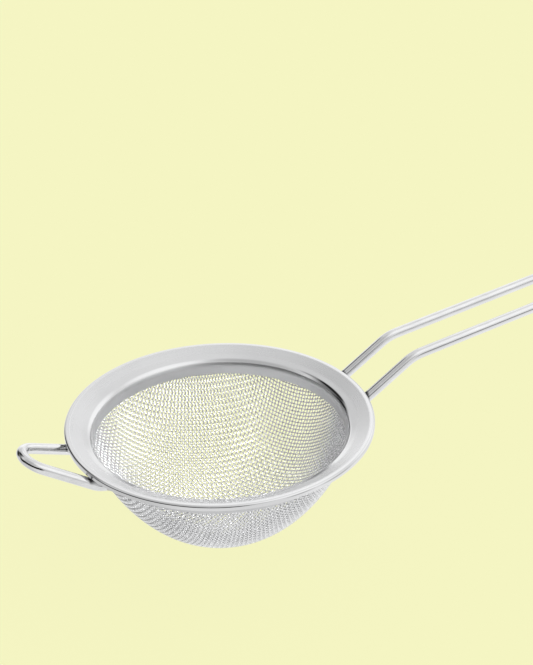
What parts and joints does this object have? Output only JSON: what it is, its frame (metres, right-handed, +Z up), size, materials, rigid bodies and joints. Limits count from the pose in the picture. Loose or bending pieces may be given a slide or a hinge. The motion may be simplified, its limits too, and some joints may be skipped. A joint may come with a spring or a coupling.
{
  "type": "tea strainer",
  "caption": "Handheld tea strainer: woven wire bowl crimped into a sloping ring rim, hairpin wire handle on one side, wire rest loop on the other.",
  "frame": {"origin": "centre of the rim, in the plane of its top edge", "axes": "+X out along the handle, +Z up out of the mouth of the bowl, +Y to the left looking along +X"},
  "size_m": [0.2367, 0.08, 0.0591],
  "materials": {
    "rim_steel": "satin stainless sheet",
    "collar_steel": "satin stainless sheet",
    "wire_cloth": "bright drawn stainless wire, plain weave",
    "wire_steel": "polished stainless wire",
    "weld_steel": "dull weld metal"
  },
  "bodies": {
    "root": {"rim_flange": "rim_steel", "clamp_collar": "collar_steel", "mesh_bowl": "wire_cloth", "handle_wire": "wire_steel", "rest_loop_wire": "wire_steel", "handle_weld_left": "weld_steel", "handle_weld_right": "weld_steel", "rest_loop_weld_left": "weld_steel", "rest_loop_weld_right": "weld_steel"}
  },
  "joints": []
}
